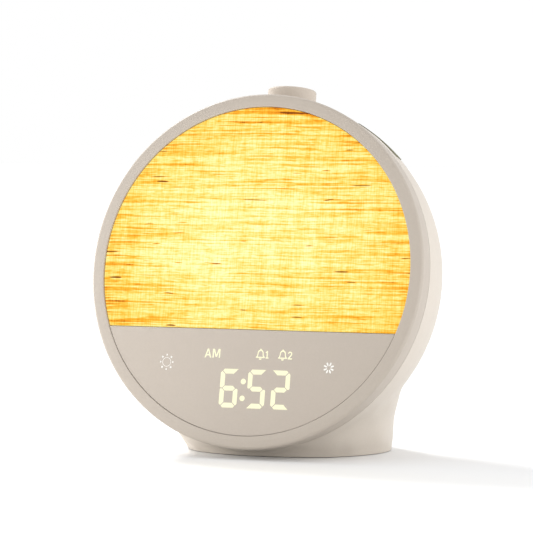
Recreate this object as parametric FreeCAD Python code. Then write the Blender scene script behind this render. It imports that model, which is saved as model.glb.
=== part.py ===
import FreeCAD, Part
import math, os
from FreeCAD import Vector as V

os.makedirs("parts", exist_ok=True)

# ---------------------------------------------------------------- dimensions
# Millimetres.  +X is the clock's right as seen from the front, -Y is the
# front, +Z is up.  The origin is the middle of the bounding box on the floor.
LEAN = 10.93            # backward lean of the round head, degrees
HEAD_Z = 87.6           # height of the head's centre above the floor
HEAD_Y = -35.249        # head's centre in Y
R_OPEN = 77.8           # opening inside the bezel
R_BEZEL = 83.95         # outer radius of the bezel
D_PART = 11.8           # depth of the joint between bezel ring and rear shell
R_PART = 83.3           # radius there
DOME_B = 69.0           # depth of the rear dome behind the joint
DOME_P = 2.42           # superellipse power of the dome
WALL = 2.4              # wall of the rear shell
BLEND = 9.0             # softness of the blend from dome to pedestal
Z_EDGE = 0.3            # lower edge of the shell above the floor
SPLIT = -27.9           # line between fabric and display panel
D_FACE = 0.45           # front face of the display panel behind the bezel
KNOB_D = 30.0           # depth of the knob's axis
KNOB_R = 11.6
KNOB_TOP = 91.4         # rim of the knob from the head's centre
KNOB_LOW = 78.8         # lower edge of the knob, inside its well
WELL_FLOOR = 78.0
PRESS = 0.5             # travel of the knob's push switch
KEY_PHI = (32.3, 41.7)  # places of the two keys, degrees from the top
KEY_LEN = 12.0
KEY_WID = 10.6
KEY_D = 23.2
KEY_PROUD = 0.35
SPK_R = 24.3            # opening for the speaker grille
PORT_Z = 12.0           # height of the charging inlet

# pedestal: height, half width, half depth, centre behind the head's centre
PED = [(-20, 47.0, 40.0, 45.0), (0.4, 49.9, 43.6, 43.2), (7.4, 52.0, 46.5, 38.7),
       (14, 53.2, 47.2, 36.4), (20, 54.9, 47.2, 34.8), (26, 56.7, 46.2, 34.0),
       (34, 57.0, 43.4, 33.4), (45, 51.0, 38.0, 33.0), (60, 42.0, 30.0, 33.0),
       (90, 26.0, 20.0, 30.0)]

ct, st = math.cos(math.radians(LEAN)), math.sin(math.radians(LEAN))
# head frame: x as the clock's x, y into the depth, z up the leaning face
HEAD = FreeCAD.Placement(V(0, HEAD_Y, HEAD_Z), FreeCAD.Rotation(V(1, 0, 0), -LEAN))


def to_world(shape):
    return shape.transformed(HEAD.toMatrix(), True)


def out(name, *shapes):
    solids = []
    for s in shapes:
        solids += s.Solids
    shp = solids[0] if len(solids) == 1 else Part.makeCompound(solids)
    if not shp.isValid():
        print("INVALID", name)
    shp.exportStep("parts/%s.step" % name)
    b = shp.BoundBox
    NODES[name] = shp
    print("%-20s solids %2d vol %9.1f  x %.1f..%.1f y %.1f..%.1f z %.1f..%.1f" % (
        name, len(solids), shp.Volume, b.XMin, b.XMax, b.YMin, b.YMax, b.ZMin, b.ZMax))


NODES = {}


def pwl(z, k):
    """Monotone cubic through column k of the pedestal table."""
    n = len(PED)
    if z <= PED[0][0]:
        return PED[0][k]
    if z >= PED[-1][0]:
        return PED[-1][k]
    i = 0
    while z > PED[i + 1][0]:
        i += 1

    def slope(j):
        if j <= 0 or j >= n - 1:
            a = max(0, min(j, n - 2))
            return (PED[a + 1][k] - PED[a][k]) / float(PED[a + 1][0] - PED[a][0])
        h0 = float(PED[j][0] - PED[j - 1][0])
        h1 = float(PED[j + 1][0] - PED[j][0])
        d0 = (PED[j][k] - PED[j - 1][k]) / h0
        d1 = (PED[j + 1][k] - PED[j][k]) / h1
        if d0 * d1 <= 0:
            return 0.0
        w1, w2 = 2 * h1 + h0, h1 + 2 * h0
        return (w1 + w2) / (w1 / d0 + w2 / d1)
    h = float(PED[i + 1][0] - PED[i][0])
    s = (z - PED[i][0]) / h
    m0, m1 = slope(i) * h, slope(i + 1) * h
    p0, p1 = PED[i][k], PED[i + 1][k]
    return ((2 * s ** 3 - 3 * s ** 2 + 1) * p0 + (s ** 3 - 2 * s ** 2 + s) * m0 +
            (-2 * s ** 3 + 3 * s ** 2) * p1 + (s ** 3 - s ** 2) * m1)


def local_world(x, d, v):
    return V(x, HEAD_Y + d * ct + v * st, HEAD_Z - d * st + v * ct)


def dome_r(d, inset=0.0):
    """Radius of the dome at depth d."""
    q = max(0.0, (d - D_PART) / (DOME_B - inset))
    return (R_PART - inset) * max(0.0, 1 - q ** DOME_P) ** (1.0 / DOME_P)


def skin_point(phi, s, inset):
    """Point of the shell's skin: dome blended with the pedestal."""
    th = s * math.pi / 2
    r = (R_PART - inset) * math.cos(th) ** (2 / DOME_P)
    d = D_PART + (DOME_B - inset) * math.sin(th) ** (2 / DOME_P)
    cx, cd, cv = 0.0, 30.0, 0.0
    dx, dd, dv = r * math.sin(phi) - cx, d - cd, r * math.cos(phi) - cv
    td = math.sqrt(dx * dx + dd * dd + dv * dv)
    o = local_world(cx, cd, cv)
    w = (local_world(cx + dx, cd + dd, cv + dv) - o) * (1.0 / td)
    lo, hi = 5.0, 170.0
    for _ in range(34):
        m = 0.5 * (lo + hi)
        p = o + w * m
        if p.z < -20 or p.z > 88:
            hi = m
            continue
        g = (p.x / (pwl(p.z, 1) - inset)) ** 2 + \
            ((p.y - HEAD_Y - pwl(p.z, 3)) / (pwl(p.z, 2) - inset)) ** 2 - 1
        if g < 0:
            lo = m
        else:
            hi = m
    h = max(BLEND - abs(td - lo), 0.0) / BLEND
    t = max(td, lo) + h * h * BLEND / 4
    f = min(1.0, s / 0.10)
    t = (td + (t - td) * f * f * (3 - 2 * f)) / td
    return V(cx + dx * t, cd + dd * t, cv + dv * t)


def skin_solid(inset):
    rows = [0.0, 0.025, 0.05, 0.075, 0.10, 0.13, 0.165] + [0.2 + 0.04 * i for i in range(19)] + [0.955, 0.985]
    grid = []
    nphi = 72
    for i in range(nphi + 1):
        phi = 2 * math.pi * (i % nphi) / nphi
        col = []
        col.append(V((R_PART - inset) * math.sin(phi), D_PART - 1.5, (R_PART - inset) * math.cos(phi)))
        for s in rows:
            col.append(skin_point(phi, s, inset))
        grid.append(col)
    surf = Part.BSplineSurface()
    surf.interpolate(grid)
    face = surf.toShape()
    caps = []
    for e in face.Edges:
        if e.isClosed():
            caps.append(Part.makeFilledFace([e]))
    shell = Part.makeShell([face] + caps)
    shell.sewShape()
    sol = Part.Solid(shell)
    if sol.Volume < 0:
        sol.reverse()
    if inset == 0:
        sol = sol.cut(Part.makeBox(400, 40, 400, V(-200, D_PART - 40, -200)))
    print("skin", inset, "faces", len(sol.Faces), "valid", sol.isValid(), "vol", sol.Volume)
    return to_world(sol)


def tube(r0, r1, d0, d1):
    """Ring about the head's axis."""
    a = Part.makeCylinder(r1, d1 - d0, V(0, d0, 0), V(0, 1, 0))
    if r0 > 0:
        a = a.cut(Part.makeCylinder(r0, d1 - d0 + 2, V(0, d0 - 1, 0), V(0, 1, 0)))
    return a


def revolve(pts):
    """Closed profile of (r, d) points, turned about the head's axis."""
    w = Part.makePolygon([V(r, d, 0) for r, d in pts] + [V(pts[0][0], pts[0][1], 0)])
    return Part.Face(w).revolve(V(0, 0, 0), V(0, 1, 0), 360)


def box(x0, x1, y0, y1, z0, z1):
    return Part.makeBox(x1 - x0, y1 - y0, z1 - z0, V(x0, y0, z0))


def prism_d(poly, d0, d1):
    """Polygon in the face plane (x, v), from depth d0 to d1."""
    w = Part.makePolygon([V(x, d0, z) for x, z in poly] + [V(poly[0][0], d0, poly[0][1])])
    return Part.Face(w).extrude(V(0, d1 - d0, 0))


def ngon(cx, cz, r, n, a0=0.0):
    return [(cx + r * math.cos(a0 + 2 * math.pi * i / n), cz + r * math.sin(a0 + 2 * math.pi * i / n))
            for i in range(n)]


def ellipse_prism(a, b, cy, z0, z1):
    e = Part.Ellipse(V(0, cy, z0), a, b) if a >= b else None
    w = Part.Wire([e.toShape()])
    return Part.Face(w).extrude(V(0, 0, z1 - z0))


def cyl(r, p, q):
    p, q = V(*p), V(*q)
    return Part.makeCylinder(r, (q - p).Length, p, q - p)


# ---------------------------------------------------------------- rear shell
outer = skin_solid(0.0)
inner = skin_solid(WALL)
floor_cut = Part.makeBox(400, 400, 60, V(-200, -200, -60 + Z_EDGE))
outer_c = outer.cut(floor_cut)
shell = outer_c.cut(inner)

# knob well: cup inside the wall around the knob's axis
boss = to_world(Part.makeCylinder(14.5, 14.0, V(0, KNOB_D, 75.6), V(0, 0, 1))).common(outer_c)
shell = shell.fuse(boss)
shell = shell.cut(to_world(Part.makeCylinder(KNOB_R + 0.6, 20, V(0, KNOB_D, WELL_FLOOR), V(0, 0, 1))))
shell = shell.cut(to_world(Part.makeCylinder(3.55, 20, V(0, KNOB_D, 70), V(0, 0, 1))))

# opening for the two keys
def radial(phi):
    """Placement whose z axis is the radial direction at phi, y stays the depth."""
    return FreeCAD.Placement(V(0, 0, 0), FreeCAD.Rotation(V(0, 1, 0), phi))


def rounded_box(lx, ly, z0, z1, r, cx=0.0, cy=0.0):
    b = box(cx - lx / 2, cx + lx / 2, cy - ly / 2, cy + ly / 2, z0, z1)
    ed = [e for e in b.Edges if abs(e.Vertexes[0].Z - e.Vertexes[1].Z) > 0.5 * (z1 - z0)]
    return b.makeFillet(r, ed)


phi_mid = 0.5 * (KEY_PHI[0] + KEY_PHI[1])
key_slot = rounded_box(27.1, KEY_WID + 0.6, 70, 95, 2.2, 0, KEY_D)
key_slot = to_world(key_slot.transformed(radial(phi_mid).toMatrix(), True))
shell = shell.cut(key_slot)

# speaker opening with a ring inside that carries grille and speaker
ring = to_world(tube(SPK_R - 1.7, 28.6, 72.5, 90)).common(outer_c)
shell = shell.cut(to_world(tube(0, SPK_R, 60, 95)))
shell = shell.fuse(ring)
shell = shell.cut(to_world(tube(0, SPK_R, 76.6, 95)))
spk_screws_at = [(26.45 * math.cos(math.radians(a)), 26.45 * math.sin(math.radians(a))) for a in (45, 135, 225, 315)]
for x, v in spk_screws_at:
    shell = shell.cut(to_world(cyl(0.9, (x, 70.0, v), (x, 76.0, v))))

# charging inlet in the back of the pedestal
y_back = HEAD_Y + pwl(PORT_Z, 2) + pwl(PORT_Z, 3)
slot = rounded_box(9.5, 3.8, -6, 6, 1.85)
slot_m = FreeCAD.Placement(V(0, y_back, PORT_Z), FreeCAD.Rotation(V(1, 0, 0), -90)).toMatrix()
shell = shell.cut(slot.transformed(slot_m, True))
dish = rounded_box(14.0, 8.0, -0.9, 6, 3.2).transformed(slot_m, True)
shell = shell.cut(dish)

# rebate under the wall that takes the base plate and the foot
cy = HEAD_Y + 43.2
shell = shell.cut(ellipse_prism(47.3, 41.1, cy, -1.0, 3.6))

# screw bosses of the base plate
boss_at = [(sx * 30.8, HEAD_Y + 43.2 + sy * 26.9) for sx in (-1, 1) for sy in (-1, 1)]
for x, y in boss_at:
    b = Part.makeCylinder(3.4, 10.4, V(x, y, 3.6), V(0, 0, 1))
    # web that ties the boss to the wall
    a = math.degrees(math.atan2(y - (HEAD_Y + 43.2), x))
    web = box(0, 16, -1.2, 1.2, 5.0, 13.0)
    web = web.transformed(FreeCAD.Placement(V(x, y, 0), FreeCAD.Rotation(V(0, 0, 1), a)).toMatrix(), True)
    shell = shell.fuse(b.fuse(web).common(outer_c))
for x, y in boss_at:
    shell = shell.cut(Part.makeCylinder(1.25, 7.5, V(x, y, 2.0), V(0, 0, 1)))
# ledge ring for the key board
for s in (-1, 1):
    rib = box(s * 14.5 - 1.2, s * 14.5 + 1.2, KEY_D - 4.5, KEY_D + 4.5, 72.1, 82.0)
    shell = shell.fuse(to_world(rib.transformed(radial(phi_mid).toMatrix(), True)).common(outer_c))
out("rear_shell", max(shell.Solids, key=lambda q: q.Volume))

# ---------------------------------------------------------------- front ring
fil = [(R_BEZEL - 1.6 + 1.6 * math.sin(math.radians(a)), 1.85 - 1.6 * math.cos(math.radians(a)))
       for a in (0, 11, 22, 33, 45, 56, 67, 78, 90)]
prof = [(R_OPEN, 0.3), (R_OPEN + 0.1, 0.08), (R_OPEN + 0.35, 0.0), (80.2, 0.04)] + fil + \
       [(R_BEZEL - 0.1, 6.0), (R_BEZEL - 0.3, 9.0), (R_PART, D_PART - 0.3), (R_PART - 0.9, D_PART - 0.3),
        (R_PART - 0.9, D_PART), (80.6, D_PART), (80.6, 15.0), (79.4, 15.0),
        (79.4, 9.5), (81.2, 8.6), (81.2, 5.2), (73.0, 5.2), (73.0, 3.2), (R_OPEN, 3.2)]
ring_s = revolve(prof)
# the tray and panel are screwed to the flange
tray_screw_at = [(77.2 * math.cos(math.radians(a)), 77.2 * math.sin(math.radians(a))) for a in (20, 66, 114, 160)]
panel_screw_at = [(77.2 * math.cos(math.radians(a)), 77.2 * math.sin(math.radians(a))) for a in (-42, -138)]
for x, v in tray_screw_at + panel_screw_at:
    ring_s = ring_s.cut(cyl(1.1, (x, 3.6, v), (x, 6, v)))
out("front_ring", to_world(ring_s))

# ---------------------------------------------------------------- glowing face
def seg_above(r, d0, d1, v):
    return tube(0, r, d0, d1).common(box(-100, 100, d0 - 1, d1 + 1, v, 100))


def seg_below(r, d0, d1, v):
    return tube(0, r, d0, d1).common(box(-100, 100, d0 - 1, d1 + 1, -100, v))


out("fabric_cover", to_world(seg_above(77.6, 0.7, 1.2, SPLIT + 0.15)))
out("diffuser_plate", to_world(seg_above(77.6, 1.2, 3.2, SPLIT + 0.15)))

tray = seg_above(72.6, 3.3, 15.5, SPLIT + 0.6).cut(seg_above(71.2, 3.0, 14.1, SPLIT + 2.0))
for x, v in tray_screw_at:
    a = math.atan2(v, x)
    ear = tube(71.9, 79.2, 5.3, 7.0).common(
        cyl(4.2, (75.6 * math.cos(a), 5.0, 75.6 * math.sin(a)), (75.6 * math.cos(a), 8.0, 75.6 * math.sin(a))))
    tray = tray.fuse(ear)
post_at = [(-34, -20), (34, -20), (-34, 34), (34, 34)]
for x, v in post_at:
    tray = tray.fuse(cyl(3.0, (x, 15.0, v), (x, 25.0, v)))
for x, v in tray_screw_at:
    tray = tray.cut(cyl(1.1, (x, 3.6, v), (x, 7.2, v)))
for x, v in post_at:
    tray = tray.cut(cyl(1.1, (x, 19.0, v), (x, 26.0, v)))
out("light_tray", to_world(tray))
out("tray_screws", *[to_world(cyl(1.1, (x, 3.6, v), (x, 7.0, v)).fuse(cyl(1.7, (x, 7.0, v), (x, 8.3, v))))
                     for x, v in tray_screw_at])

led_board = seg_above(70.4, 12.9, 14.1, SPLIT + 3.0)
out("led_board", to_world(led_board))
chips = []
for rr, n in ((14, 4), (34, 8), (56, 14)):
    for i in range(n):
        a = 2 * math.pi * (i + 0.5) / n
        x, v = rr * math.cos(a), 10 + rr * math.sin(a) * 0.86
        if v > SPLIT + 6:
            chips.append(to_world(box(x - 1.75, x + 1.75, 12.2, 12.9, v - 1.75, v + 1.75)))
out("led_chips", *chips)

# ---------------------------------------------------------------- display
DW, DH, SW, G = 9.1, 18.2, 2.3, 0.2       # digit width, height, stroke, gap
DIG_V = -64.75                             # foot of the digits
m = DH / 2


def seg_poly(k, lit):
    """Outline of one bar of a digit.  Bars that meet at a corner are bevelled
    there; a bar's free end runs out to a point."""
    W, Hh, w, g = DW, DH, SW, G
    c = 1.75                                # bevel at a corner where two bars meet
    if k == "a":
        left = [(w + g, Hh - w), (c / 2 + g, Hh - c / 2), (c + g * 0.6, Hh)] if "f" in lit else [(w + g, Hh - w), (g, Hh)]
        right = [(W - c - g * 0.6, Hh), (W - c / 2 - g, Hh - c / 2), (W - w - g, Hh - w)] if "b" in lit else [(W - g, Hh), (W - w - g, Hh - w)]
        return left + right
    if k == "d":
        swap = {"e": "f", "c": "b"}
        return [(x, Hh - y) for x, y in reversed(seg_poly("a", "".join(swap.get(q, "") for q in lit)))]
    if k == "g":
        return [(w / 2 + g, m), (w + g, m + w / 2), (W - w - g, m + w / 2), (W - w / 2 - g, m), (W - w - g, m - w / 2), (w + g, m - w / 2)]
    if k == "f":
        return [(0, Hh - c - g * 0.6), (c / 2 - g * 0.4, Hh - c / 2 - g), (w, Hh - w - g - 0.12), (w, m + w / 2 + g), (w / 2, m + g), (0.35, m + g), (0, m + g + 0.45)]
    if k == "b":
        return [(W - x, y) for x, y in reversed(seg_poly("f", lit))]
    if k == "e":
        return [(x, Hh - y) for x, y in reversed(seg_poly("f", lit))]
    return [(W - x, Hh - y) for x, y in seg_poly("f", lit)]


DIGITS = [(-12.95, "afgecd"), (1.0, "afgcd"), (13.15, "abged")]
segs = []
for x0, ks in DIGITS:
    for k in ks:
        segs.append([(x0 + x, DIG_V + y) for x, y in seg_poly(k, ks)])
for v in (-52.3, -60.2):
    segs.append(ngon(-1.25, v, 1.33, 24))

# "AM" letters and the two alarm marks
ax, ay, ah = -22.0, -41.6, 4.2
A_out = [(ax, ay), (ax + 1.4, ay + ah), (ax + 2.15, ay + ah), (ax + 3.55, ay), (ax + 2.8, ay), (ax + 2.5, ay + 0.95), (ax + 1.05, ay + 0.95), (ax + 0.75, ay)]
A_in = [(ax + 1.25, ay + 1.55), (ax + 2.3, ay + 1.55), (ax + 1.775, ay + 3.3)]
mx = ax + 4.1
M_out = [(mx, ay), (mx, ay + ah), (mx + 1.0, ay + ah), (mx + 1.95, ay + 1.5), (mx + 2.9, ay + ah), (mx + 3.9, ay + ah), (mx + 3.9, ay), (mx + 3.2, ay),
         (mx + 3.2, ay + 3.0), (mx + 2.3, ay + 0.35), (mx + 1.6, ay + 0.35), (mx + 0.7, ay + 3.0), (mx + 0.7, ay)]


def bell(cx, cy):
    """Plain bell in outline, 4.4 wide and 5.2 high, with a solid clapper."""
    half = [(0.0, 2.6), (0.38, 2.5), (0.45, 2.15), (0.95, 1.9), (1.32, 1.45), (1.5, 0.85), (1.58, 0.0), (1.72, -0.6), (2.0, -1.05), (2.25, -1.3), (2.25, -1.72)]
    inner_half = [(0.0, 1.55), (0.5, 1.42), (0.82, 1.1), (0.98, 0.6), (1.05, 0.0), (1.16, -0.65), (1.32, -1.15)]
    body = [(cx + x, cy + y) for x, y in half] + [(cx - x, cy + y) for x, y in reversed(half[1:])]
    hole = [(cx + x, cy + y) for x, y in inner_half] + [(cx - x, cy + y) for x, y in reversed(inner_half[1:])]
    clap = [(cx - 0.8, cy - 1.95), (cx + 0.8, cy - 1.95), (cx + 0.5, cy - 2.45), (cx, cy - 2.62), (cx - 0.5, cy - 2.45)]
    return body, hole, clap


one = [(9.05, -41.2), (9.05, -40.7), (9.5, -40.7), (9.5, -38.5), (9.0, -38.75), (9.0, -38.2), (9.7, -37.6), (10.15, -37.6), (10.15, -40.7), (10.6, -40.7), (10.6, -41.2)]
t0x, t0y = 20.25, -41.3
two = [(t0x, t0y), (t0x, t0y + 0.6), (t0x + 1.45, t0y + 2.2), (t0x + 1.5, t0y + 2.8), (t0x + 1.1, t0y + 3.15), (t0x + 0.65, t0y + 3.05), (t0x + 0.5, t0y + 2.6),
       (t0x - 0.05, t0y + 2.7), (t0x + 0.15, t0y + 3.35), (t0x + 0.75, t0y + 3.75), (t0x + 1.5, t0y + 3.65), (t0x + 2.1, t0y + 3.1), (t0x + 2.1, t0y + 2.1), (t0x + 0.95, t0y + 0.6), (t0x + 2.15, t0y + 0.6), (t0x + 2.15, t0y)]
BELLS = [bell(6.45, -39.3), bell(17.65, -39.35)]

icons = []
for i in range(8):
    a = 2 * math.pi * i / 8
    icons.append(ngon(-41.2 + 3.15 * math.cos(a), -44.35 + 3.4 * math.sin(a), 0.47 if i % 2 else 0.4, 12))
for i in range(8):
    a = 2 * math.pi * i / 8 + math.pi / 8
    c, s = math.cos(a), math.sin(a)
    pet = [(0.75, 0.0), (1.2, 0.28), (2.2, 0.42), (2.62, 0.2), (2.7, 0.0), (2.62, -0.2), (2.2, -0.42), (1.2, -0.28)]
    icons.append([(41.05 + x * c - y * s, -44.6 + x * s + y * c) for x, y in pet])

D_BACK = 3.2
D_GLYPH = D_FACE + 1.0                     # the clear inlays are moulded into the panel's front
seg_sol = [prism_d(p, D_FACE, D_GLYPH) for p in segs]
am_sol = [prism_d(A_out, D_FACE, D_GLYPH).cut(prism_d(A_in, D_FACE - 1, D_BACK)), prism_d(M_out, D_FACE, D_GLYPH)]
alarm_sol = [prism_d(p, D_FACE, D_GLYPH) for p in (one, two)]
for body, hole, clap in BELLS:
    alarm_sol += [prism_d(body, D_FACE, D_GLYPH).cut(prism_d(hole, D_FACE - 1, D_BACK)), prism_d(clap, D_FACE, D_GLYPH)]
icon_sol = [prism_d(p, D_FACE, D_GLYPH) for p in icons]
icon_sol.append(prism_d(ngon(-41.2, -44.35, 2.2, 24), D_FACE, D_GLYPH).cut(prism_d(ngon(-41.2, -44.35, 2.0, 24), D_FACE - 1, D_BACK)))

panel = seg_below(77.6, D_FACE, D_BACK, SPLIT - 0.15)
for s in seg_sol + am_sol + alarm_sol + icon_sol:
    panel = panel.cut(s)
out("display_panel", to_world(panel))
out("time_digits", *[to_world(s) for s in seg_sol])
out("am_marker", *[to_world(s) for s in am_sol])
out("alarm_markers", *[to_world(s) for s in alarm_sol])
out("touch_icons", *[to_world(s) for s in icon_sol])

# dark baffle with one light well behind every glyph
mask = box(-30, 30, 3.25, 9.0, -66.0, -34.5)
wells = [box(x0 - 0.6, x0 + DW + 0.6, 3, 8.0, DIG_V - 0.6, DIG_V + DH + 0.6) for x0, _ in DIGITS]
wells += [box(-3.0, 0.3, 3, 8.0, -62.4, -50.2), box(-23, -13, 3, 8.0, -42.4, -36.6), box(3.6, 11.2, 3, 8.0, -42.4, -36.2), box(14.9, 23.2, 3, 8.0, -42.4, -36.2)]
for w in wells:
    mask = mask.cut(w)
leds = []
led_places = []
for x0, ks in DIGITS:
    for k in ks:
        cx, cv = {"a": (DW / 2, DH - SW / 2), "d": (DW / 2, SW / 2), "g": (DW / 2, m), "f": (SW / 2, 0.75 * DH), "e": (SW / 2, 0.25 * DH),
                  "b": (DW - SW / 2, 0.75 * DH), "c": (DW - SW / 2, 0.25 * DH)}[k]
        led_places.append((x0 + cx, DIG_V + cv))
led_places += [(-1.25, -52.3), (-1.25, -60.2), (-20.2, -39.5), (-15.9, -39.5), (6.4, -39.3), (17.6, -39.3)]
for x, v in led_places:
    mask = mask.cut(box(x - 1.0, x + 1.0, 7.5, 9.5, v - 0.7, v + 0.7))
    leds.append(to_world(box(x - 0.8, x + 0.8, 8.3, 9.0, v - 0.5, v + 0.5)))
out("light_mask", to_world(mask))
out("display_leds", *leds)
disp = box(-47, 47, 9.0, 10.6, -56.0, -30.5).fuse(box(-33, 33, 9.0, 10.6, -69.0, -56.0)).removeSplitter()
out("display_board", to_world(disp))
# sensing rings behind the two touch marks, on short foam blocks
pads = []
for x, v in ((-41.2, -44.35), (41.05, -44.6)):
    pads.append(to_world(tube(4.4, 7.2, 3.25, 3.5).translated(V(x, 0, v))))
out("touch_electrodes", *pads)
foam = []
for x, v in ((-41.2, -44.35), (41.05, -44.6)):
    foam.append(to_world(tube(5.0, 7.0, 3.5, 9.0).translated(V(x, 0, v)).common(box(-47, 47, 0, 20, -56, -30.5))))
out("touch_foam_blocks", *foam)
out("display_ribbon", to_world(box(-8, 8, 10.6, 25.0, -33.4, -33.0)))

# ---------------------------------------------------------------- main board
mb = box(-45, 45, 25.0, 26.6, -34.0, 44.0)
for x, v in post_at:
    mb = mb.cut(cyl(1.1, (x, 24, v), (x, 28, v)))
out("main_board", to_world(mb))
out("board_screws", *[to_world(cyl(1.1, (x, 19.0, v), (x, 26.6, v)).fuse(cyl(2.2, (x, 26.6, v), (x, 28.2, v)))) for x, v in post_at])
chips = [(-18, 6, 12, 12, 1.2), (8, 14, 7, 7, 1.0), (24, -6, 9, 6, 1.6), (-30, 22, 5, 8, 2.2), (14, -18, 16, 6, 4.0), (28, 20, 6, 6, 3.2), (-6, 34, 10, 5, 1.4)]
out("board_chips", *[to_world(box(x, x + w, 26.6, 26.6 + h, v, v + l)) for x, v, w, l, h in chips])
out("cell_holder", to_world(tube(10.3, 11.6, 26.6, 31.0).fuse(tube(0, 11.6, 26.6, 27.4)).translated(V(-20, 0, -16))))
out("backup_cell", to_world(tube(0, 10.0, 27.5, 30.7).translated(V(-20, 0, -16))))

# ---------------------------------------------------------------- speaker
basket = revolve([(20.6, 71.0), (28.2, 71.0), (28.2, 72.5), (20.4, 72.5), (19.4, 71.6), (12.6, 58.9), (8.2, 58.9), (8.2, 57.5), (13.6, 57.5)])
for x, v in spk_screws_at:
    basket = basket.cut(cyl(0.9, (x, 70.0, v), (x, 73.0, v)))
out("speaker_basket", to_world(basket))
out("speaker_magnet", to_world(tube(0, 13.2, 49.0, 57.5)))
out("speaker_cone", to_world(revolve([(22.4, 72.5), (22.4, 72.9), (20.6, 72.9), (19.9, 74.1), (19.1, 74.4), (18.3, 74.1), (17.7, 73.0), (7.2, 64.4), (5.0, 66.2), (2.6, 67.0), (0, 67.3),
                                      (0, 66.8), (2.6, 66.5), (5.0, 65.7), (7.2, 63.8), (18.0, 72.6), (18.6, 73.7), (19.1, 73.9), (19.6, 73.7), (20.5, 72.5)])))
out("speaker_screws", *[to_world(cyl(0.9, (x, 71.0, v), (x, 76.0, v)).fuse(cyl(1.6, (x, 69.8, v), (x, 71.0, v)))) for x, v in spk_screws_at])


def dome_d(r, inset=0.0):
    return D_PART + (DOME_B - inset) * (1 - (r / (R_PART - inset)) ** DOME_P) ** (1 / DOME_P)


gp = [(r, dome_d(r) + 0.05) for r in (0, 4, 8, 12, 16, 20, 23.6)] + [(24.0, dome_d(24.0) - 0.35), (24.0, 76.65), (22.7, 76.65), (22.7, dome_d(22.7) - 1.9)] + \
     [(r, dome_d(r) - 1.6) for r in (20, 16, 12, 8, 4, 0)]
grille = revolve(gp)
holes = []
for ringn, rr in ((0, 0.0), (6, 3.1), (12, 6.2), (18, 9.3), (24, 12.4), (30, 15.5), (36, 18.6)):
    for i in range(max(1, ringn)):
        a = 2 * math.pi * i / max(1, ringn)
        holes.append(cyl(0.85, (rr * math.cos(a), 70, rr * math.sin(a)), (rr * math.cos(a), 90, rr * math.sin(a))))
grille = grille.cut(Part.makeCompound(holes))
out("speaker_grille", to_world(grille))

# ---------------------------------------------------------------- knob
def up(r, v0, v1, r0=0.0):
    c = Part.makeCylinder(r, v1 - v0, V(0, KNOB_D, v0), V(0, 0, 1))
    if r0 > 0:
        c = c.cut(Part.makeCylinder(r0, v1 - v0 + 2, V(0, KNOB_D, v0 - 1), V(0, 0, 1)))
    return c


body = box(-6.2, 6.2, KNOB_D - 6.2, KNOB_D + 6.2, 68.2, 75.6)
body = body.fuse(up(3.5, 75.6, 80.0)).cut(up(3.05, 69.9, 81)).cut(up(2.75, 68.9, 70.0))
out("encoder_body", to_world(body))
nut = Part.Face(Part.makePolygon([V(5.0 * math.cos(math.pi * i / 3), KNOB_D + 5.0 * math.sin(math.pi * i / 3), 78.05) for i in range(7)])).extrude(V(0, 0, 1.2))
out("encoder_nut", to_world(nut.cut(up(3.5, 77, 81))))
out("switch_plunger", to_world(up(2.6, 69.45, 69.95).fuse(up(2.6, 69.95, 70.5))))
out("encoder_shaft", to_world(up(3.0, 70.55, 87.4)))


def up_revolve(pts):
    w = Part.makePolygon([V(r, KNOB_D, v) for r, v in pts] + [V(pts[0][0], KNOB_D, pts[0][1])])
    return Part.Face(w).revolve(V(0, KNOB_D, 0), V(0, 0, 1), 360)


kr = KNOB_R
crown = [(kr, KNOB_TOP - 1.2), (kr - 0.10, KNOB_TOP - 0.72), (kr - 0.35, KNOB_TOP - 0.32), (kr - 0.75, KNOB_TOP - 0.05), (kr - 1.3, KNOB_TOP + 0.1),
         (kr - 3.0, KNOB_TOP + 0.3), (6.0, KNOB_TOP + 0.45), (3.0, KNOB_TOP + 0.55), (0, KNOB_TOP + 0.58)]
cap = up_revolve([(0, 87.4), (3.0, 87.4), (3.0, 80.9), (4.8, 80.9), (4.8, 87.9), (9.7, 87.9), (9.7, KNOB_LOW), (kr - 0.25, KNOB_LOW), (kr, KNOB_LOW + 0.25)] + crown)
out("knob_cap", to_world(cap))

# ---------------------------------------------------------------- keys
proud = revolve([(0, D_PART)] + [(dome_r(d) + KEY_PROUD, d) for d in [D_PART + 0.5 * i for i in range(0, 60)]] + [(0, D_PART + 29.5)])
hollow = revolve([(0, D_PART - 1)] + [(dome_r(d) - 3.0, d) for d in [D_PART - 1 + 0.5 * i for i in range(0, 62)]] + [(0, D_PART + 29.5)])
for name, phi in (("key_left", KEY_PHI[0]), ("key_right", KEY_PHI[1])):
    k = rounded_box(KEY_LEN, KEY_WID, 76, 90, 1.9, 0, KEY_D).transformed(radial(phi).toMatrix(), True)
    k = k.common(proud).cut(hollow)
    stem = Part.makeCylinder(1.6, 6.0, V(0, KEY_D, 75.7), V(0, 0, 1)).transformed(radial(phi).toMatrix(), True)
    k = k.fuse(stem)
    out(name, to_world(k))
kb = box(-14.5, 14.5, KEY_D - 5.2, KEY_D + 5.2, 70.9, 72.1).transformed(radial(phi_mid).toMatrix(), True)
out("key_board", to_world(kb))
sw = []
for phi in KEY_PHI:
    d_phi = phi - phi_mid
    cx = 73.0 * math.tan(math.radians(d_phi))
    b = box(cx - 3.1, cx + 3.1, KEY_D - 3.1, KEY_D + 3.1, 72.1, 74.3).fuse(Part.makeCylinder(1.5, 0.55, V(cx, KEY_D, 74.3), V(0, 0, 1)))
    sw.append(to_world(b.transformed(radial(phi_mid).toMatrix(), True)))
out("key_switches", *sw)

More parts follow.
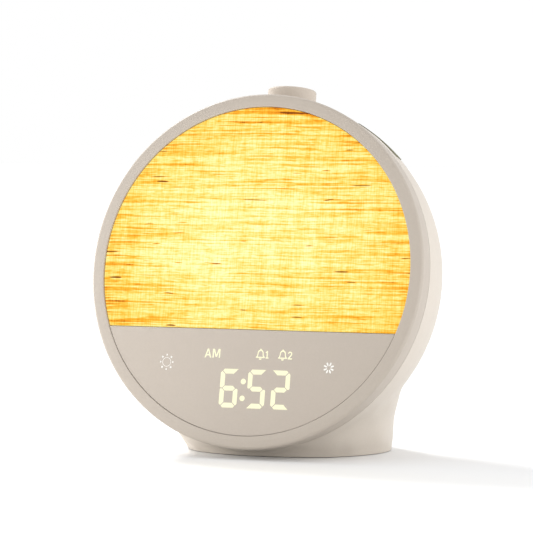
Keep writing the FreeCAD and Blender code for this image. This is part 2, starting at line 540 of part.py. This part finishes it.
# ---------------------------------------------------------------- charging inlet
yb = y_back - 0.95                          # mouth of the inlet
def port_box(lx, lz, r, y0, y1):
    b = rounded_box(lx, lz, -y1, -y0, r)
    return b.transformed(FreeCAD.Placement(V(0, 0, PORT_Z), FreeCAD.Rotation(V(1, 0, 0), 90)).toMatrix(), True)


port = port_box(8.94, 3.26, 1.55, yb - 7.3, yb).cut(port_box(8.34, 2.56, 1.2, yb - 6.6, yb + 1))
tongue = box(-3.34, 3.34, yb - 6.6, yb - 0.7, PORT_Z - 0.35, PORT_Z + 0.35)
out("usb_port", port)
out("usb_tongue", tongue)
pb_top = PORT_Z - 1.63
pb = box(-13, 13, y_back - 32, yb - 3.8, pb_top - 1.6, pb_top)
out("power_board", pb)

# ---------------------------------------------------------------- base
plate = ellipse_prism(46.6, 40.2, cy - 0.2, 1.2, 3.5)
for x, y in boss_at:
    plate = plate.cut(Part.makeCylinder(1.25, 4, V(x, y, 1.0), V(0, 0, 1))).cut(Part.makeCylinder(2.9, 1.7, V(x, y, 0.5), V(0, 0, 1)))
post_xy = [(-9.5, y_back - 12.0), (9.5, y_back - 12.0), (-9.5, y_back - 28.0), (9.5, y_back - 28.0)]
for x, y in post_xy:
    plate = plate.fuse(Part.makeCylinder(2.0, pb_top - 1.6 - 3.5, V(x, y, 3.5), V(0, 0, 1)))
out("base_plate", plate)
out("base_screws", *[Part.makeCylinder(1.2, 6.6, V(x, y, 2.2), V(0, 0, 1)).fuse(Part.makeCylinder(2.6, 0.95, V(x, y, 1.25), V(0, 0, 1))) for x, y in boss_at])
foot = ellipse_prism(46.4, 40.0, cy - 0.2, 0.0, 1.2).cut(ellipse_prism(38.0, 32.0, cy, -1, 2))
for x, y in boss_at:
    foot = foot.cut(Part.makeCylinder(3.2, 3, V(x, y, -1), V(0, 0, 1)))
out("rubber_foot", foot)
ballast = ellipse_prism(27.0, 21.0, HEAD_Y + 32.0, 3.5, 8.3)
for x in (-16, 16):
    ballast = ballast.cut(Part.makeCylinder(1.5, 8, V(x, HEAD_Y + 32.0, 2), V(0, 0, 1)))
out("ballast_weight", ballast)
out("ballast_screws", *[Part.makeCylinder(1.5, 4.8, V(x, HEAD_Y + 32.0, 3.5), V(0, 0, 1)).fuse(Part.makeCylinder(2.8, 1.5, V(x, HEAD_Y + 32.0, 8.3), V(0, 0, 1))) for x in (-16, 16)])

vs = []
for k in ("rear_shell", "front_ring", "knob_cap", "rubber_foot", "usb_port"):
    vs += NODES[k].tessellate(0.05)[0]
lo = [min(p[i] for p in vs) for i in range(3)]
hi = [max(p[i] for p in vs) for i in range(3)]
print("TOTAL", [round(q, 3) for q in lo], [round(q, 3) for q in hi], "y middle %.3f" % (0.5 * (lo[1] + hi[1])), "nodes", len(NODES))
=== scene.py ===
import math

import bmesh
import bpy
import numpy as np
from mathutils import Matrix, Vector


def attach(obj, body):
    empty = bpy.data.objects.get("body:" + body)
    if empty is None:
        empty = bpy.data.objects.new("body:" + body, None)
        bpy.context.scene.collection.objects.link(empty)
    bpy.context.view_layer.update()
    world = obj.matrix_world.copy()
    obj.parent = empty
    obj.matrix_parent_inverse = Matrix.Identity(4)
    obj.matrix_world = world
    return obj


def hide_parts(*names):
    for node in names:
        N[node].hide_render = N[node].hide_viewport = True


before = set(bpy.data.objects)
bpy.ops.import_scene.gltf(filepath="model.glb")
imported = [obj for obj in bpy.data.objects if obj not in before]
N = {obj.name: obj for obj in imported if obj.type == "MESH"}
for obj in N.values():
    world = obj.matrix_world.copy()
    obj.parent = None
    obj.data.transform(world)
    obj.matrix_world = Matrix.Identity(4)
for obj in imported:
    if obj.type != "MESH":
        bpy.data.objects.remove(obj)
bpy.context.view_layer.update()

# ------------------------------------------------------------------ geometry of the frame
T = math.radians(10.93)                  # lean of the head
CT, ST = math.cos(T), math.sin(T)
HEAD_Y, HEAD_Z = -0.035249, 0.0876       # head's centre, metres


def hw(x, d, v):
    """Head frame (x, depth, up the face) to the row frame, all in metres."""
    return Vector((x, HEAD_Y + d * CT + v * ST, HEAD_Z - d * ST + v * CT))


HEAD_M = Matrix(((1, 0, 0, 0), (0, CT, ST, HEAD_Y), (0, -ST, CT, HEAD_Z), (0, 0, 0, 1)))
scene = bpy.context.scene

# ------------------------------------------------------------------ camera
AZ, EL = math.radians(23.12), math.radians(2.924)
back = Vector((math.sin(AZ) * math.cos(EL), -math.cos(AZ) * math.cos(EL), math.sin(EL)))
cam_data = bpy.data.cameras.new("camera")
cam = bpy.data.objects.new("camera", cam_data)
scene.collection.objects.link(cam)
cam_data.sensor_width = 36.0
cam_data.lens = 3300.0 / 533.0 * 36.0
cam_data.clip_start, cam_data.clip_end = 0.05, 50.0
cam.location = hw(0, 0, 0) + Vector((0.60992, -1.41345, 0.08014))
cam.rotation_mode = "QUATERNION"
cam.rotation_quaternion = (-back).to_track_quat("-Z", "Y")
cam_data.shift_x, cam_data.shift_y = 0.0, 0.5 / 533.0
scene.camera = cam


# ------------------------------------------------------------------ node helpers
def new_mat(name):
    m = bpy.data.materials.new(name)
    m.use_nodes = True
    nt = m.node_tree
    nt.nodes.clear()
    o = nt.nodes.new("ShaderNodeOutputMaterial")
    p = nt.nodes.new("ShaderNodeBsdfPrincipled")
    nt.links.new(p.outputs[0], o.inputs[0])
    return m, nt, p


def node(nt, kind, **kw):
    n = nt.nodes.new(kind)
    for k, v in kw.items():
        if hasattr(n, k):
            setattr(n, k, v)
        else:
            n.inputs[k].default_value = v
    return n


def ramp(nt, fac, stops, interp="LINEAR"):
    r = nt.nodes.new("ShaderNodeValToRGB")
    r.color_ramp.interpolation = interp
    e = r.color_ramp.elements
    while len(e) < len(stops):
        e.new(0.5)
    for i, (p, c) in enumerate(stops):
        e[i].position = p
        e[i].color = c if len(c) == 4 else (*c, 1)
    nt.links.new(fac, r.inputs[0])
    return r.outputs[0]


def math_n(nt, op, a, b=None, clamp=False):
    n = nt.nodes.new("ShaderNodeMath")
    n.operation = op
    n.use_clamp = clamp
    for i, q in enumerate((a, b)):
        if q is None:
            continue
        if isinstance(q, (int, float)):
            n.inputs[i].default_value = q
        else:
            nt.links.new(q, n.inputs[i])
    return n.outputs[0]


def obj_coord(nt, scale=(1, 1, 1), loc=(0, 0, 0), rot=(0, 0, 0)):
    c = nt.nodes.new("ShaderNodeTexCoord")
    mp = nt.nodes.new("ShaderNodeMapping")
    mp.inputs["Scale"].default_value = scale
    mp.inputs["Location"].default_value = loc
    mp.inputs["Rotation"].default_value = rot
    nt.links.new(c.outputs["Object"], mp.inputs[0])
    return mp.outputs[0]


def noise(nt, vec, scale, detail=2.0, rough=0.5, distort=0.0):
    n = nt.nodes.new("ShaderNodeTexNoise")
    n.inputs["Scale"].default_value = scale
    n.inputs["Detail"].default_value = detail
    n.inputs["Roughness"].default_value = rough
    n.inputs["Distortion"].default_value = distort
    nt.links.new(vec, n.inputs["Vector"])
    return n.outputs["Fac"]


def mix_rgb(nt, fac, a, b, kind="MIX"):
    n = nt.nodes.new("ShaderNodeMix")
    n.data_type = "RGBA"
    n.blend_type = kind
    if isinstance(fac, (int, float)):
        n.inputs[0].default_value = fac
    else:
        nt.links.new(fac, n.inputs[0])
    for i, q in ((6, a), (7, b)):
        if isinstance(q, tuple):
            n.inputs[i].default_value = (*q, 1) if len(q) == 3 else q
        else:
            nt.links.new(q, n.inputs[i])
    return n.outputs[2]


def bump(nt, p, height, strength, dist):
    b = nt.nodes.new("ShaderNodeBump")
    b.inputs["Strength"].default_value = strength
    b.inputs["Distance"].default_value = dist
    nt.links.new(height, b.inputs["Height"])
    nt.links.new(b.outputs[0], p.inputs["Normal"])
    return b


def lin(r, g, b):
    """sRGB 0..255 to linear."""
    def f(c):
        c /= 255.0
        return c / 12.92 if c <= 0.04045 else ((c + 0.055) / 1.055) ** 2.4
    return (f(r), f(g), f(b))


def plastic(name, rgb, rough=0.42, grain=0.05, var=0.03, texture=3800.0, coat=0.0, spec=0.5):
    """Moulded plastic: fine spark-eroded texture, slight mottling, roughness variation."""
    m, nt, p = new_mat(name)
    v = obj_coord(nt)
    big = noise(nt, v, 22.0, 3.0, 0.55)
    mid = noise(nt, v, 260.0, 3.0, 0.6)
    fine = noise(nt, v, texture, 2.0, 0.6)
    lo = tuple(c * (1 - var) for c in rgb)
    hi = tuple(min(1.0, c * (1 + var)) for c in rgb)
    col = ramp(nt, big, [(0.3, lo), (0.7, hi)])
    col = mix_rgb(nt, 0.35, col, ramp(nt, fine, [(0.25, tuple(c * 0.93 for c in rgb)), (0.75, tuple(min(1, c * 1.05) for c in rgb))]))
    nt.links.new(col, p.inputs["Base Color"])
    nt.links.new(ramp(nt, mid, [(0.2, (rough - 0.05,) * 3), (0.8, (rough + 0.06,) * 3)]), p.inputs["Roughness"])
    p.inputs["Specular IOR Level"].default_value = spec
    if coat:
        p.inputs["Coat Weight"].default_value = coat
        p.inputs["Coat Roughness"].default_value = 0.25
    if grain >= 0.02:
        h = math_n(nt, "ADD", fine, math_n(nt, "MULTIPLY", mid, 0.5))
        bump(nt, p, h, grain, 0.00004)
    return m


def metal(name, rgb, rough=0.32, stretch=(1, 1, 40), aniso=0.3):
    m, nt, p = new_mat(name)
    v = obj_coord(nt, scale=stretch)
    n1 = noise(nt, v, 900.0, 3.0, 0.6)
    n2 = noise(nt, obj_coord(nt), 60.0, 3.0, 0.5)
    nt.links.new(ramp(nt, n2, [(0.3, tuple(c * 0.86 for c in rgb)), (0.75, rgb)]), p.inputs["Base Color"])
    p.inputs["Metallic"].default_value = 1.0
    nt.links.new(ramp(nt, n1, [(0.25, (rough - 0.08,) * 3), (0.75, (rough + 0.1,) * 3)]), p.inputs["Roughness"])
    bump(nt, p, n1, 0.08, 0.00003)
    return m


# ------------------------------------------------------------------ materials
M = {}
# shell, ring and panel are one plastic: the ring and panel get a darker copy, painted shade on the front face, and
# the shell a lighter copy, painted light on the lit side wall and pedestal
M["shell"] = plastic("shell_plastic_lit_copy", (0.55, 0.497, 0.434), rough=0.46, grain=0.01, var=0.012, texture=900.0)
M["ring"] = plastic("ring_plastic_shaded_copy", (0.425, 0.374, 0.320), rough=0.50, grain=0.008, var=0.010, texture=900.0)
M["panel"] = plastic("panel_plastic_shaded_copy", (0.425, 0.372, 0.318), rough=0.44, grain=0.008, var=0.010, texture=900.0)
M["knob"] = plastic("knob_plastic", (0.49, 0.425, 0.360), rough=0.5, grain=0.01, var=0.012, texture=900.0)
M["base"] = plastic("base_plastic", lin(196, 188, 178), rough=0.55, grain=0.1, var=0.02)
M["key"] = plastic("key_silicone", lin(112, 110, 84), rough=0.62, grain=0.12, var=0.03)
M["foot"] = plastic("foot_rubber", lin(46, 45, 44), rough=0.8, grain=0.25, var=0.06)
M["black"] = plastic("black_plastic", lin(30, 30, 32), rough=0.5, grain=0.12, var=0.06)
M["chip"] = plastic("chip_epoxy", lin(34, 34, 36), rough=0.38, grain=0.12, var=0.06)
M["white"] = plastic("tray_white", lin(238, 236, 230), rough=0.4, grain=0.05, var=0.015)
M["opal"] = plastic("opal_sheet", lin(240, 234, 220), rough=0.35, grain=0.03, var=0.015)
M["foam"] = plastic("foam_grey", lin(92, 92, 94), rough=0.9, grain=0.6, var=0.1, texture=1500.0)
M["ribbon"] = plastic("ribbon_film", lin(216, 218, 222), rough=0.3, grain=0.05, var=0.03)
M["paper"] = plastic("cone_pulp", lin(38, 37, 36), rough=0.85, grain=0.5, var=0.12, texture=1200.0)
M["magnet"] = plastic("magnet_ferrite", lin(60, 60, 63), rough=0.6, grain=0.3, var=0.08, texture=1800.0)
M["steel"] = metal("zinc_steel", (0.60, 0.60, 0.61), 0.34)
M["darksteel"] = metal("black_steel", (0.06, 0.06, 0.062), 0.5)
M["iron"] = metal("oiled_iron", (0.26, 0.26, 0.265), 0.5, (1, 1, 1))
M["brass"] = metal("turned_brass", (0.78, 0.60, 0.30), 0.3)
M["copper"] = metal("bare_copper", (0.80, 0.45, 0.28), 0.35, (1, 1, 1))
M["can"] = metal("cell_can", (0.78, 0.78, 0.78), 0.22)


def board_mat():
    m, nt, p = new_mat("solder_mask")
    v = obj_coord(nt)
    vor = nt.nodes.new("ShaderNodeTexVoronoi")
    vor.feature = "DISTANCE_TO_EDGE"
    vor.inputs["Scale"].default_value = 170.0
    nt.links.new(v, vor.inputs["Vector"])
    tracks = ramp(nt, vor.outputs["Distance"], [(0.0, lin(38, 120, 74)), (0.07, lin(38, 120, 74)), (0.10, lin(14, 70, 40)), (1.0, lin(12, 62, 36))])
    nt.links.new(tracks, p.inputs["Base Color"])
    p.inputs["Coat Weight"].default_value = 0.6
    p.inputs["Coat Roughness"].default_value = 0.15
    nt.links.new(ramp(nt, noise(nt, v, 400.0), [(0.2, (0.32,) * 3), (0.8, (0.45,) * 3)]), p.inputs["Roughness"])
    bump(nt, p, vor.outputs["Distance"], 0.3, 0.00005)
    return m


M["board"] = board_mat()


def lit(name, rgb, strength, base):
    """Light guide seen lit: brightness falls off slightly and unevenly across it."""
    m, nt, p = new_mat(name)
    v = obj_coord(nt)
    n1 = noise(nt, v, 420.0, 2.0, 0.5)
    col = ramp(nt, n1, [(0.2, tuple(c * 0.94 for c in rgb)), (0.8, rgb)])
    p.inputs["Base Color"].default_value = (*base, 1)
    nt.links.new(col, p.inputs["Emission Color"])
    p.inputs["Emission Strength"].default_value = strength
    nt.links.new(ramp(nt, noise(nt, v, 900.0), [(0.2, (0.38,) * 3), (0.8, (0.46,) * 3)]), p.inputs["Roughness"])
    bump(nt, p, noise(nt, v, 3000.0), 0.04, 0.00003)
    return m


M["digit"] = lit("digit_glow", (1.0, 0.975, 0.665), 0.97, (0.04, 0.038, 0.025))
M["icon"] = lit("icon_glow", (1.0, 0.985, 0.94), 0.9, (0.08, 0.078, 0.07))
M["led"] = lit("led_glow", (1.0, 0.72, 0.25), 1.0, (0.8, 0.6, 0.25))


def linen_mat():
    """Slubby linen lit from behind: irregular weft threads lying across, fine
    warp threads up and down, thick slubs that block the light."""
    m, nt, p = new_mat("lit_linen")
    # object coordinates turned into the face plane: x across, z up the face
    c = nt.nodes.new("ShaderNodeTexCoord")
    mp = nt.nodes.new("ShaderNodeMapping")
    mp.inputs["Rotation"].default_value = (T, 0, 0)
    nt.links.new(c.outputs["Object"], mp.inputs[0])
    flat = mp.outputs[0]

    def scaled(sx, sz, src=flat, off=0.0):
        q = nt.nodes.new("ShaderNodeMapping")
        q.inputs["Scale"].default_value = (sx, 0.0, sz)
        q.inputs["Location"].default_value = (off, off * 1.9, off * 0.7)
        nt.links.new(src, q.inputs[0])
        return q.outputs[0]

    def total(*terms):
        acc = None
        for t in terms:
            acc = t if acc is None else math_n(nt, "ADD", acc, t)
        return acc

    def layer(vec, lo, hi, weight, detail=0.0, rough=0.5):
        return math_n(nt, "MULTIPLY", ramp(nt, noise(nt, vec, 1.0, detail, rough), [(lo, (0,) * 3), (hi, (1,) * 3)]), weight)

    # gentle wander of the weft, so that threads aren't ruler straight
    wander = noise(nt, scaled(16, 9), 1.0, 2.0, 0.5)
    sep = nt.nodes.new("ShaderNodeSeparateXYZ")
    nt.links.new(flat, sep.inputs[0])
    z2 = math_n(nt, "ADD", sep.outputs[2], math_n(nt, "MULTIPLY", math_n(nt, "SUBTRACT", wander, 0.5), 0.0026))
    comb = nt.nodes.new("ShaderNodeCombineXYZ")
    nt.links.new(sep.outputs[0], comb.inputs[0])
    nt.links.new(z2, comb.inputs[2])
    src = comb.outputs[0]

    # the lamp fades towards the rim, and isn't quite even across the face
    face_z = math_n(nt, "SUBTRACT", sep.outputs[2], HEAD_Z * CT + HEAD_Y * ST)
    dx = math_n(nt, "ADD", sep.outputs[0], 0.0)
    dz = math_n(nt, "ADD", face_z, -0.001)
    r2 = math_n(nt, "ADD", math_n(nt, "MULTIPLY", dx, dx), math_n(nt, "MULTIPLY", dz, dz))
    rim = math_n(nt, "POWER", math_n(nt, "MULTIPLY", r2, 1.0 / (0.080 * 0.080)), 1.15)
    cloud = noise(nt, scaled(15, 24, flat, 2.2), 1.0, 3.0, 0.55)
    cover = total(math_n(nt, "MULTIPLY", ramp(nt, cloud, [(0.34, (0,) * 3), (0.72, (1,) * 3)]), 0.34), math_n(nt, "MULTIPLY", rim, 0.30), 0.27)

    lines = total(
        layer(scaled(10, 700, src, 3.1), 0.50, 0.80, 0.14),
        layer(scaled(14, 1250, src, 5.3), 0.53, 0.69, 0.28),
        layer(scaled(34, 1500, src, 9.7), 0.55, 0.70, 0.36),
        layer(scaled(85, 1350, src, 12.9), 0.56, 0.78, 0.34),
        layer(scaled(190, 1200, src, 17.1), 0.60, 0.80, 0.24),
    )
    grain = total(
        layer(scaled(420, 1700, src, 4.4), 0.34, 0.72, 0.13, 1.0),
        layer(scaled(1700, 130, src, 1.7), 0.38, 0.74, 0.11),
        layer(scaled(190, 11, src, 5.2), 0.42, 0.72, 0.06),
    )
    slubs = total(
        layer(scaled(60, 900, src, 24.9), 0.815, 0.88, 0.75),
        layer(scaled(95, 1000, src, 41.3), 0.825, 0.88, 0.80),
    )
    # the backlight's glow is painted darker towards the bottom of the face
    low = ramp(nt, math_n(nt, "ADD", math_n(nt, "MULTIPLY", face_z, -20.0), 0.5), [(0.35, (0,) * 3), (1.0, (1,) * 3)])
    d = total(math_n(nt, "MULTIPLY", lines, cover), grain, math_n(nt, "MULTIPLY", rim, 0.17), math_n(nt, "MULTIPLY", low, 0.07), slubs)
    glow = ramp(nt, d, [(0.02, lin(255, 253, 200)), (0.14, lin(255, 248, 172)), (0.28, lin(255, 232, 130)), (0.44, lin(254, 206, 84)),
                        (0.60, lin(250, 178, 46)), (0.78, lin(238, 146, 26)), (0.92, lin(198, 108, 18)), (1.0, lin(128, 62, 12))])
    nt.links.new(glow, p.inputs["Emission Color"])
    p.inputs["Emission Strength"].default_value = 0.97
    p.inputs["Base Color"].default_value = (0.06, 0.045, 0.02, 1)
    nt.links.new(mix_rgb(nt, 0.93, glow, (0.02, 0.012, 0.004)), p.inputs["Base Color"])
    p.inputs["Roughness"].default_value = 0.9
    p.inputs["Specular IOR Level"].default_value = 0.05
    h = math_n(nt, "ADD", lines, grain)
    bump(nt, p, h, 0.4, 0.0001)
    return m


M["linen"] = linen_mat()
for k in ("linen", "digit", "icon", "led"):
    if hasattr(M[k], "cycles"):
        M[k].cycles.emission_sampling = "NONE"

ASSIGN = {
    "shell": ["rear_shell", "speaker_grille"],
    "ring": ["front_ring"],
    "panel": ["display_panel"],
    "linen": ["fabric_cover"],
    "opal": ["diffuser_plate"],
    "white": ["light_tray"],
    "steel": ["tray_screws", "board_screws", "speaker_screws", "encoder_shaft", "usb_port", "base_screws", "ballast_screws"],
    "board": ["led_board", "display_board", "main_board", "key_board", "power_board"],
    "led": ["led_chips", "display_leds"],
    "digit": ["time_digits", "am_marker", "alarm_markers"],
    "icon": ["touch_icons"],
    "black": ["light_mask", "cell_holder", "encoder_body", "switch_plunger", "key_switches", "usb_tongue"],
    "copper": ["touch_electrodes"],
    "foam": ["touch_foam_blocks"],
    "ribbon": ["display_ribbon"],
    "chip": ["board_chips"],
    "can": ["backup_cell"],
    "darksteel": ["speaker_basket"],
    "magnet": ["speaker_magnet"],
    "paper": ["speaker_cone"],
    "brass": ["encoder_nut"],
    "knob": ["knob_cap"],
    "key": ["key_left", "key_right"],
    "base": ["base_plate"],
    "foot": ["rubber_foot"],
    "iron": ["ballast_weight"],
}
for key, names in ASSIGN.items():
    for n in names:
        o = N[n]
        o.data.materials.clear()
        o.data.materials.append(M[key])
        for poly in o.data.polygons:
            poly.material_index = 0

# ------------------------------------------------------------------ linen cover
def linen_sheet():
    """The cut is a segment of a circle, stretched flat over the diffuser, its
    edge turned back behind the ring. 0.5 mm thick, with the weave's relief."""
    from mathutils.geometry import delaunay_2d_cdt
    R, LOW, D0, D1 = 0.07757, -0.02773, 0.00072, 0.00118
    rng = np.random.default_rng(11)
    a0 = math.asin(LOW / R)
    edge = []
    n_arc = 300
    for i in range(n_arc + 1):
        t = a0 + (math.pi - 2 * a0) * i / n_arc
        edge.append((R * math.cos(t), R * math.sin(t)))
    xl = edge[-1][0]
    nb = 128
    for i in range(1, nb):
        edge.append((xl + (-2 * xl) * i / nb, LOW))
    pts = [Vector(e) for e in edge]
    ne = len(pts)
    step = 0.00115
    for j in range(int((R - LOW) / step) + 1):
        for i in range(int(2 * R / step) + 1):
            x, v = -R + (i + 0.5 * (j % 2)) * step, LOW + (j + 0.6) * step
            if v - LOW > 0.0004 and math.hypot(x, v) < R - 0.0004:
                pts.append(Vector((x, v)))
    out = delaunay_2d_cdt(pts, [(i, (i + 1) % ne) for i in range(ne)], [], 1, 1e-7)
    V, F = out[0], out[2]
    k = rng.uniform(-1, 1, (6, 3))
    verts = []
    for q in V:
        x, v = q.x, q.y
        inset = min(R - math.hypot(x, v), v - LOW)
        relief = 0.000025 * (math.sin(x * 900 + 3 * k[0][0]) * 0.4 + math.sin(v * 2300 + 40 * x + k[1][0]) + 0.6 * math.sin(v * 5100 - 25 * x + k[2][0]))
        turn = max(0.0, 1.0 - inset / 0.0007)
        verts.append(hw(x, D0 + relief + (D1 - D0) * 0.55 * turn ** 2, v))
    nv = len(verts)
    for q in V:
        verts.append(hw(q.x, D1, q.y))
    faces = [tuple(f) for f in F] + [tuple(nv + i for i in reversed(f)) for f in F]
    from collections import Counter
    seen = Counter()
    for f in F:
        for i in range(len(f)):
            seen[tuple(sorted((f[i], f[(i + 1) % len(f)])))] += 1
    for f in F:
        for i in range(len(f)):
            p, q = f[i], f[(i + 1) % len(f)]
            if seen[tuple(sorted((p, q)))] == 1:
                faces.append((q, p, nv + p, nv + q))
    me = bpy.data.meshes.new("linen_cover")
    me.from_pydata([tuple(v) for v in verts], [], faces)
    bm = bmesh.new()
    bm.from_mesh(me)
    bmesh.ops.recalc_face_normals(bm, faces=bm.faces)
    bm.to_mesh(me)
    bm.free()
    me.polygons.foreach_set("use_smooth", [True] * len(me.polygons))
    o = bpy.data.objects.new("linen_cover", me)
    scene.collection.objects.link(o)
    me.materials.append(M["linen"])
    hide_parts("fabric_cover")
    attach(o, "housing")
    return o


linen_sheet()

# ------------------------------------------------------------------ stage
me = bpy.data.meshes.new("floor")
me.from_pydata([(-6, -6, 0), (6, -6, 0), (6, 6, 0), (-6, 6, 0)], [], [(0, 1, 2, 3)])
floor = bpy.data.objects.new("floor", me)
scene.collection.objects.link(floor)
fm, fnt, fp = new_mat("studio_floor")
fv = obj_coord(fnt)
fnt.links.new(ramp(fnt, noise(fnt, fv, 3.0, 2.0), [(0.3, (0.82, 0.823, 0.828)), (0.7, (0.84, 0.843, 0.848))]), fp.inputs["Base Color"])
fp.inputs["Roughness"].default_value = 0.9
fp.inputs["Specular IOR Level"].default_value = 0.1
me.materials.append(fm)

# white room, brighter on the right, where a large soft panel stands
world = bpy.data.worlds.new("world")
scene.world = world
world.use_nodes = True
wt = world.node_tree
bg = wt.nodes["Background"]
bg.inputs[0].default_value = (1.0, 1.0, 1.0, 1)
wc = wt.nodes.new("ShaderNodeTexCoord")
wsep = wt.nodes.new("ShaderNodeSeparateXYZ")
wt.links.new(wc.outputs["Generated"], wsep.inputs[0])
side = math_n(wt, "POWER", math_n(wt, "MAXIMUM", math_n(wt, "ADD", math_n(wt, "MULTIPLY", wsep.outputs[0], 0.9), math_n(wt, "MULTIPLY", wsep.outputs[1], 0.42)), 0.0), 2.0)
front = math_n(wt, "MAXIMUM", math_n(wt, "MULTIPLY", wsep.outputs[1], -1.0), 0.0)
lvl = math_n(wt, "ADD", math_n(wt, "MULTIPLY", side, 0.62), 1.0)
lvl = math_n(wt, "SUBTRACT", lvl, math_n(wt, "MULTIPLY", front, 0.30))
wt.links.new(lvl, bg.inputs[1])


def area(name, loc, target, size, power, color=(1, 1, 1), size_y=None):
    d = bpy.data.lights.new(name, "AREA")
    d.energy = power
    d.color = color
    d.shape = "RECTANGLE" if size_y else "SQUARE"
    d.size = size
    if size_y:
        d.size_y = size_y
    o = bpy.data.objects.new(name, d)
    scene.collection.objects.link(o)
    o.location = loc
    o.rotation_mode = "QUATERNION"
    o.rotation_quaternion = (Vector(target) - Vector(loc)).to_track_quat("-Z", "Y")
    return o


# near panel on the left in front, so that the face falls off from left to right
area("near_left", (-0.30, -0.38, 0.16), (-0.02, 0, 0.08), 0.20, 0.72, (1.0, 0.985, 0.965))
area("left_low", (-0.55, 0.03, 0.05), (0, 0, 0.03), 0.25, 1.9, (1.0, 0.985, 0.965))
# large panel on the right that lights the side wall and the pedestal
area("right_panel", (0.92, -0.24, 0.07), (0, 0.0, 0.03), 0.50, 2.75, (1.0, 0.998, 0.995))
# low strip on the right that lifts the undercut side of the pedestal
area("right_low", (0.42, -0.26, 0.025), (0.0, 0.0, 0.02), 0.06, 0.11, (1.0, 0.985, 0.965), size_y=0.03)
# sun-like key from behind on the left: the shadow falls to the right, towards the camera
sd = bpy.data.lights.new("key", "SUN")
sd.energy = 2.2
sd.angle = math.radians(14.0)
so = bpy.data.objects.new("key", sd)
scene.collection.objects.link(so)
sun_dir = Vector((-0.836, 0.547, 0.85)).normalized()
so.rotation_mode = "QUATERNION"
so.rotation_quaternion = sun_dir.to_track_quat("Z", "Y")

scene.view_settings.view_transform = "Standard"
scene.view_settings.look = "None"
scene.view_settings.exposure = 0.0
scene.view_settings.gamma = 1.0
